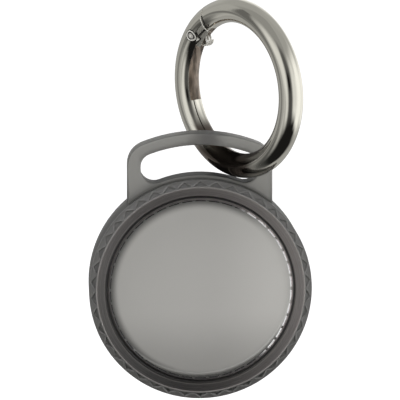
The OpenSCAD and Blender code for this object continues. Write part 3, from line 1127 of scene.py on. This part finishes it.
print("the rivet lies", round(math.hypot(PIN_RIGHT, PIN_UP), 2), "mm from the ring's middle")

# %% Finishes of the trim


def plain_material(name, colour, metallic, roughness):
    """One colour, with a roughness that varies a little."""
    material, tree, place, _ = start_material(name)
    rough = ramp(tree, noise(tree, place, 900.0, 2.0), 0.3, 0.7, roughness * 0.9, roughness * 1.1)
    return end_material(material, {"Base Color": (*colour, 1.0), "Metallic": metallic, "Roughness": rough})


def trim(piece, material, body):
    """Gives a piece its finish and the body that it rides on."""
    piece.data.materials.append(material)
    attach(piece, body)
    print(piece.name, "has", triangles(piece), "triangles")


GAP_DARK = plain_material("gap_shadow", (0.012, 0.011, 0.009), 0.0, 0.6)
# The pale finish paints highlights: on edges, the rivet's rim and dot, a facet and the spring's coil.
PAINTED_HIGHLIGHT = plain_material("highlight_paint", (0.95, 0.93, 0.86), 0.3, 0.25)
# The grey finish paints shade on the flat faces at the hinge.
FLANK_SHADE = plain_material("painted_flank_shade", (0.36, 0.35, 0.31), 0.3, 0.3)
HEAD_GREY = plain_material("head_grey", (0.62, 0.6, 0.56), 0.5, 0.25)

# %% Strips on the bar
STRIP_SUNK = 0.06
SEAM = [(122.0, 78), (121.9, 96.8), (122.6, 117.5), (124.6, 139)]
SHOULDER_EDGE = [(123.6, 84), (124.6, 107), (126.1, 127.5), (128.5, 158)]
STEPPED_GAP = [(128.2, 151), (129.0, 140.1), (133.4, 139.3), (137.9, 137.6), (139.9, 154.9), (143.5, 150.9),
               (147.8, 143.0)]
STRIPS = (
    # name, spots along it, half width and height in millimetres, finish, and whether it is closed
    ("tip_lap", round_tip(), 0.14, 0.012, NICKEL, True),
    ("seam", finely(SEAM), 0.13, 0.03, GAP_DARK, False),
    ("shoulder_edge", finely(SHOULDER_EDGE), 0.09, 0.06, PAINTED_HIGHLIGHT, False),
    ("stepped_gap", finely(STEPPED_GAP, 4), 0.14, 0.04, GAP_DARK, False),
    ("rivet_seat", round_pin(0.99), 0.08, 0.03, GAP_DARK, True),
    ("rivet_rim", round_pin(0.8), 0.12, 0.08, PAINTED_HIGHLIGHT, True),
    ("rivet_groove", round_pin(0.58), 0.08, 0.03, GAP_DARK, True),
)


def strip(name, spots, half, top, closed):
    """A narrow raised strip along spots on the bar."""
    places, rings = [on_bar(*spot) for spot in spots], []
    for i, (spot, normal) in enumerate(places):
        near = [(i + k) % len(places) if closed else min(max(i + k, 0), len(places) - 1) for k in (-1, 1)]
        ahead = places[near[1]][0] - places[near[0]][0]
        side = ahead.cross(normal).normalized() * half
        low, high = spot - normal * STRIP_SUNK, spot + normal * top
        rings.append([low - side, high - side * 0.8, high + side * 0.8, low + side])
    return shade(skin(name, rings, closed), 35)


for name, spots, half, top, material, closed in STRIPS:
    trim(strip(name, spots, half, top, closed), material, "gate")

# %% Flat faces at the hinge, and the rivet's middle
SHEET_SUNK = 0.12
SHEET_EDGE = -0.03
PATCH_SUNK = 0.1
HEEL = [(124.6, 112), (126.2, 139), (138.5, 139), (135.5, 116)]
TONGUE = [(128.6, 144), (129.5, 172), (150, 176), (147.5, 146)]
FACET = [(144.2, 140.6), (141.1, 150.0), (139.8, 136.0)]


def sheet_on_bar(name, corners, top, steps=8):
    """A thin sheet that follows the bar between four corners."""
    a, b, c, d = (np.array(spot, float) for spot in corners)
    rings = []
    for u in np.linspace(0, 1, steps + 1):
        upper, lower = [], []
        for v in np.linspace(0, 1, steps + 1):
            spot, normal = on_bar(*((1 - u) * ((1 - v) * a + v * d) + u * ((1 - v) * b + v * c)))
            edge = min(u, v, 1 - u, 1 - v) == 0
            upper.append(spot + normal * (SHEET_EDGE if edge else top))
            lower.append(spot - normal * SHEET_SUNK)
        rings.append(upper + lower[::-1])
    return shade(skin(name, rings), 50)


def patch_on_bar(name, spots, top):
    """A flat little plate with its corners on the bar."""
    places = [on_bar(*spot) for spot in spots]
    return skin(name, [[spot + normal * height for spot, normal in places] for height in (top, -PATCH_SUNK)])


trim(sheet_on_bar("heel_face", HEEL, 0.02), FLANK_SHADE, "gate")
trim(sheet_on_bar("tongue_face", TONGUE, 0.02), FLANK_SHADE, "gate")
trim(patch_on_bar("bright_facet", FACET, 0.06), PAINTED_HIGHLIGHT, "gate")
trim(patch_on_bar("rivet_middle", round_pin(0.46, 24), 0.06), HEAD_GREY, "gate")
trim(patch_on_bar("rivet_dot", round_pin(0.18, 16), 0.12), PAINTED_HIGHLIGHT, "gate")

# %% Spring coil beside the tongue
COIL_ALONG = 144.0
COIL_REACH = 11.6
COIL_HALF = 1.0
COIL_WIRE = 0.17
COIL_TURNS = 3
COIL_STEPS = 24
COIL_FROM = -0.2
COIL_TO = -1.7


def spring_coil(name):
    """The closing spring's turns, wound round a line along the pin."""
    middle, spots = RING_CENTRE + out_from_ring(COIL_ALONG) * COIL_REACH, []
    for share in np.linspace(0, 1, COIL_TURNS * COIL_STEPS + 1):
        out = out_from_ring(360 * COIL_TURNS * share)
        sunk = COIL_FROM + (COIL_TO - COIL_FROM) * share
        spots.append((middle + out * COIL_HALF + RING_AXIS * sunk, out, RING_AXIS))
    return shade(round_rod(name, spots, COIL_WIRE, 8), 50)


trim(spring_coil("spring_coil"), PAINTED_HIGHLIGHT, "ring")

# %% [markdown]
# ## Spring leg
# The closing spring's free leg lies in the gate's channel and bends along when the gate opens. The packed
# spring is rigid, so its leg would go through the channel. Here the imported spring is hidden and a copy of
# its mesh stands in its place; the copy rides no body, and its leg doesn't bend.


def bending_spring(name, node):
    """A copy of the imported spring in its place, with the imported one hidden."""
    piece = in_scene(name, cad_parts[node].data.copy())
    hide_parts(node)
    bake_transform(piece)


bending_spring("closing_spring", "gate_spring")

# %% [markdown]
# ## Floor and lamps
# The floor is a wide pale sheet below the object. Cameras and clear plastic see it as white, and it keeps
# the object's soft shadow, because only a part of its white is its own glow. Polished metal doesn't see it:
# what the ring mirrors is painted in the world. One broad lamp from the upper left and a weak one from the
# right give the soft light.

# %% Floor
FLOOR_Z = -45.0
FLOOR_HALF = 1500.0
FLOOR_WHITE = 0.86
FLOOR_IN_MIRROR = 0.03
FLOOR_GLOW = 0.6


def make_floor():
    """A wide sheet that glows a little, and is dark for light that a mirror sends through the plastic."""
    corners = [(x * FLOOR_HALF, y * FLOOR_HALF, FLOOR_Z) for x, y in ((-1, -1), (1, -1), (1, 1), (-1, 1))]
    sheet = mesh_object("pale_floor", corners, [(0, 1, 2, 3)])
    material, tree, _, _ = start_material("pale_floor")
    seen, mirrored, _ = light_paths(tree)
    white = tinted(tree, mix(tree, mirrored, FLOOR_WHITE, FLOOR_IN_MIRROR))
    lit = add(tree, "ShaderNodeBsdfDiffuse", {"Color": white})
    glow = add(tree, "ShaderNodeEmission", {"Strength": product(tree, seen, FLOOR_GLOW)})
    both = add(tree, "ShaderNodeAddShader", {0: lit.outputs[0], 1: glow.outputs[0]})
    add(tree, "ShaderNodeOutputMaterial", {"Surface": both.outputs[0]})
    sheet.data.materials.append(material)
    sheet.visible_glossy = False


make_floor()
print("the floor lies", -FLOOR_Z, "mm below the middle of the case")

# %% Lamps


def make_lamp(name, sideways, upwards, away, size, watts):
    """A square lamp that faces the middle of the object."""
    data = bpy.data.lights.new(name, "AREA")
    data.size = size
    data.energy = watts
    lamp, towards = in_scene(name, data), heading(sideways, upwards)
    lamp.location = towards * away
    lamp.rotation_euler = towards.to_track_quat("Z", "Y").to_euler()
    lamp.visible_glossy = False


make_lamp("broad_lamp", -40, 50, 1.0, 0.9, 6.0)
make_lamp("fill_lamp", 60, 25, 1.0, 0.7, 1.5)
print("lamps:", sorted(light.name for light in bpy.data.lights))
